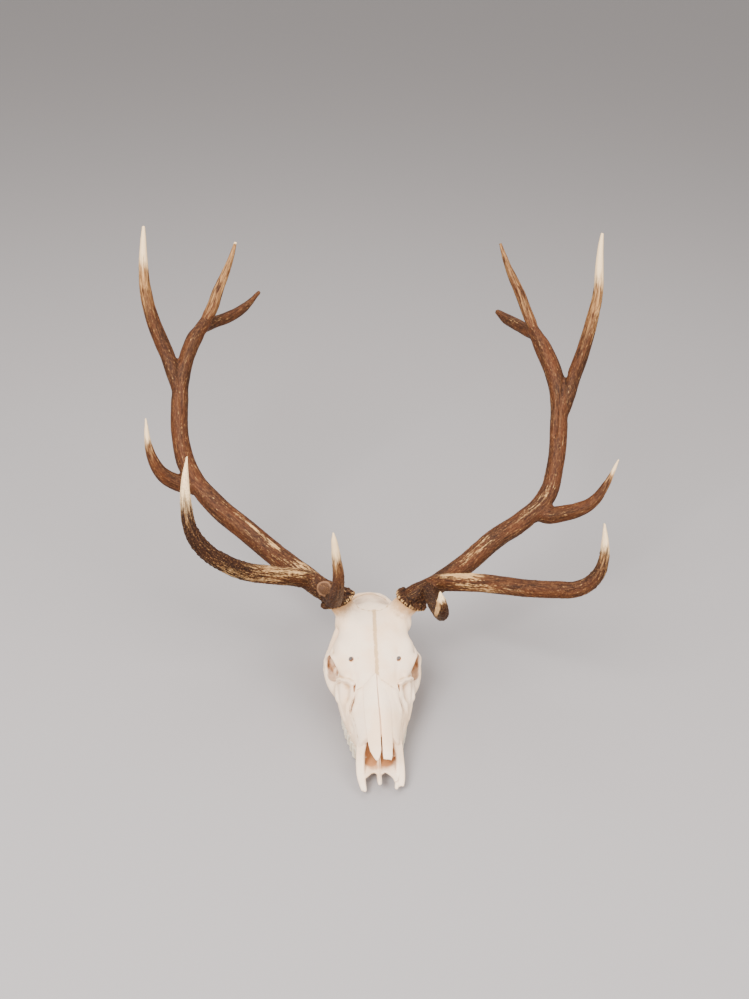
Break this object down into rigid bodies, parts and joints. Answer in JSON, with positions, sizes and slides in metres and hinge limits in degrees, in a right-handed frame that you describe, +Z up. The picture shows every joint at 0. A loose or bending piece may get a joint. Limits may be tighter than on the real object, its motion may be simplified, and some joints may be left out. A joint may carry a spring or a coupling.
{
  "type": "elk skull",
  "caption": "Bleached bull elk skull without its lower jaw, carrying both branched antlers, resting on its cheek teeth and the back of its head.",
  "frame": {"origin": "on the surface that the skull rests on, under the middle of the whole object's box", "axes": "+X to the viewer's right in the picture's front view, +Y from the snout towards the back of the head, +Z up"},
  "size_m": [0.9165, 0.9452, 0.759],
  "materials": {
    "skull_bone": "matte bleached bone, cream with tan stains in the openings",
    "thin_bone": "smooth bleached bone",
    "tooth_enamel": "semi-gloss ivory enamel with brown grooves",
    "antler_beam": "grooved dark brown antler with worn cream ridges",
    "antler_tine": "grooved brown antler fading to ivory tips"
  },
  "bodies": {
    "root": {"antler_beam_left": "antler_beam", "antler_beam_right": "antler_beam", "bez_tine_left": "antler_tine", "bez_tine_right": "antler_tine", "brow_tine_left": "antler_tine", "brow_tine_right": "antler_tine", "crown_tine_left": "antler_tine", "crown_tine_right": "antler_tine", "molar_1_left": "tooth_enamel", "molar_1_right": "tooth_enamel", "molar_2_left": "tooth_enamel", "molar_2_right": "tooth_enamel", "molar_3_left": "tooth_enamel", "molar_3_right": "tooth_enamel", "nasal_left": "thin_bone", "nasal_right": "thin_bone", "premaxilla_left": "thin_bone", "premaxilla_right": "thin_bone", "premolar_2_left": "tooth_enamel", "premolar_2_right": "tooth_enamel", "premolar_3_left": "tooth_enamel", "premolar_3_right": "tooth_enamel", "premolar_4_left": "tooth_enamel", "premolar_4_right": "tooth_enamel", "rear_tine_left": "antler_tine", "rear_tine_right": "antler_tine", "royal_tine_left": "antler_tine", "royal_tine_right": "antler_tine", "skull": "skull_bone", "trez_tine_left": "antler_tine", "trez_tine_right": "antler_tine"}
  },
  "joints": []
}
